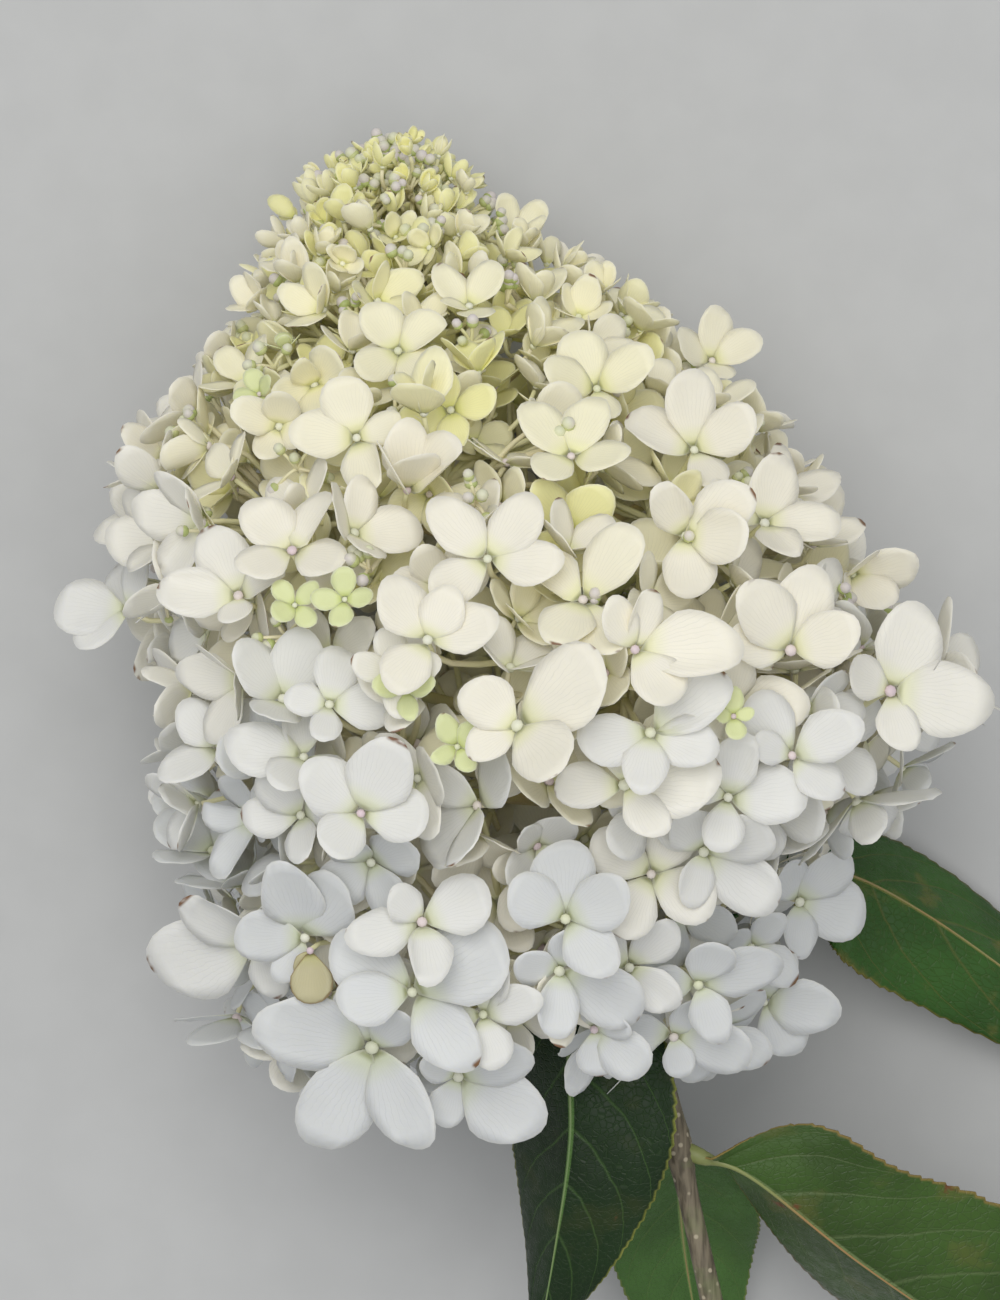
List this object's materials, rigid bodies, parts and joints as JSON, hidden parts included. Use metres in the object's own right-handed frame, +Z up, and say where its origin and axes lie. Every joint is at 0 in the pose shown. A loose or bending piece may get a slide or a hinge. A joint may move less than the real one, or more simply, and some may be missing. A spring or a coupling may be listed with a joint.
{
  "type": "cut flowering stem of panicle hydrangea",
  "caption": "Cut flowering stem with a cone of white four-petalled florets in branched clusters and two pairs of pointed leaves, lying on its side.",
  "frame": {"origin": "bottom centre of the box round the whole cut stem as it lies on its side", "axes": "+Y from the cut end of the stem towards the tip of the bloom, +Z up from the surface that it lies on"},
  "size_m": [0.2836, 0.342, 0.1735],
  "materials": {
    "stem": "brown-grey bark with fine pale pores",
    "stalk": "smooth pale green, slightly waxy",
    "petal": "soft matt white petal with fine veins",
    "leaf": "dark green leaf, lightly waxy, with sunken veins"
  },
  "bodies": {
    "root": {"stem": "stem", "leaf_front": "leaf", "leaf_right": "leaf", "leaf_under_bloom": "leaf", "leaf_behind_stem": "leaf", "bough_1a": "stalk", "bough_1b": "stalk", "bough_1c": "stalk", "bough_2a": "stalk", "bough_2b": "stalk", "bough_2c": "stalk", "bough_3a": "stalk", "bough_3b": "stalk", "bough_3c": "stalk", "bough_4a": "stalk", "bough_4b": "stalk", "bough_4c": "stalk", "bough_5a": "stalk", "bough_5b": "stalk", "bough_5c": "stalk", "bough_6a": "stalk", "bough_6b": "stalk", "bough_6c": "stalk", "cluster_1a": "petal", "cluster_1b": "petal", "cluster_1c": "petal", "cluster_2a": "petal", "cluster_2b": "petal", "cluster_2c": "petal", "cluster_3a": "petal", "cluster_3b": "petal", "cluster_3c": "petal", "cluster_4a": "petal", "cluster_4b": "petal", "cluster_4c": "petal", "cluster_5a": "petal", "cluster_5b": "petal", "cluster_5c": "petal", "cluster_6a": "petal", "cluster_6b": "petal", "cluster_6c": "petal", "cluster_7a": "petal", "cluster_7b": "petal", "cluster_7c": "petal", "cluster_tip": "petal"}
  },
  "joints": []
}
